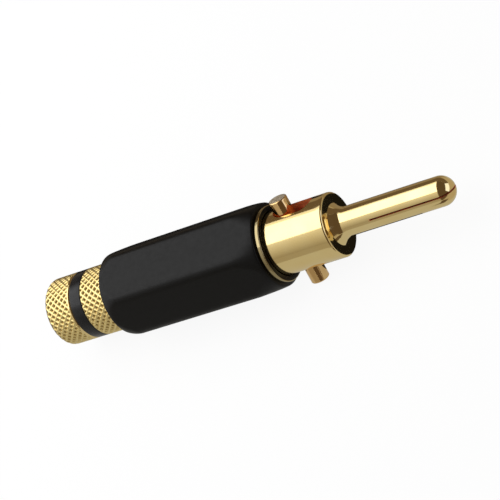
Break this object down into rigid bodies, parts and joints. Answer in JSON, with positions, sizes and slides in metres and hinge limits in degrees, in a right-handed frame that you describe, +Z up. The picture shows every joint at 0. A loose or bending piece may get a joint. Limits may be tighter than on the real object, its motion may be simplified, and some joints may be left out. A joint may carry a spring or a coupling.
{
  "type": "locking banana plug",
  "caption": "Gold plated 4 mm plug with a slit expanding pin, a twist lock under a black hexagonal grip, and a knurled cable clamp nut.",
  "frame": {"origin": "on the plug's axis at the collar's front face, where the contact pin starts", "axes": "+X along the axis to the tip of the contact pin, +Z up out of the sleeve's upper flat; the plug lies on the opposite flat"},
  "size_m": [0.0634, 0.0132, 0.0116],
  "materials": {
    "gold_contact": "gold plated, mirror polished",
    "gold_spreader": "gold plated, turned",
    "gold_cross_pin": "gold plated, ground smooth",
    "spring_steel": "drawn wire",
    "gold_ring": "gold plated, polished",
    "black_sleeve": "satin, fine grain",
    "bare_brass": "turned",
    "gold_nut": "gold plated, diamond knurled",
    "black_ring": "smooth",
    "gold_collet": "gold plated, turned"
  },
  "bodies": {
    "contact": {"contact_body": "gold_contact", "return_spring": "spring_steel"},
    "lock": {"spreader_rod": "gold_spreader", "cross_pin": "gold_cross_pin"},
    "ring": {"thrust_ring": "gold_ring"},
    "sleeve": {"hex_sleeve": "black_sleeve", "thread_insert": "bare_brass"},
    "collet": {"clamp_collet": "gold_collet"},
    "nut": {"clamp_nut": "gold_nut", "colour_ring": "black_ring"}
  },
  "joints": [
    {"name": "sleeve_turn", "type": "hinge", "parent": "ring", "child": "sleeve", "pos_m": [-0.0227, 0, 0], "axis": [1, 0, 0], "range_deg": [0, 1281.6]},
    {"name": "ring_advance", "type": "slide", "parent": "contact", "child": "ring", "axis": [1, 0, 0], "range_m": [0, 0.00445]},
    {"name": "lock_travel", "type": "slide", "parent": "contact", "child": "lock", "axis": [1, 0, 0], "range_m": [0, 0.003], "deforming": ["return_spring"]},
    {"name": "nut_turn", "type": "hinge", "parent": "collet", "child": "nut", "pos_m": [-0.041, 0, 0], "axis": [1, 0, 0], "range_deg": [-1080, 0]},
    {"name": "collet_advance", "type": "slide", "parent": "contact", "child": "collet", "axis": [1, 0, 0], "range_m": [-0.003, 0]}
  ],
  "couplings": [
    {"joint": "sleeve_turn", "follows": "ring_advance", "rad_per_m": 5026.5},
    {"joint": "lock_travel", "follows": "ring_advance", "ratio": 0.67416},
    {"joint": "nut_turn", "follows": "collet_advance", "rad_per_m": 6283.2}
  ]
}
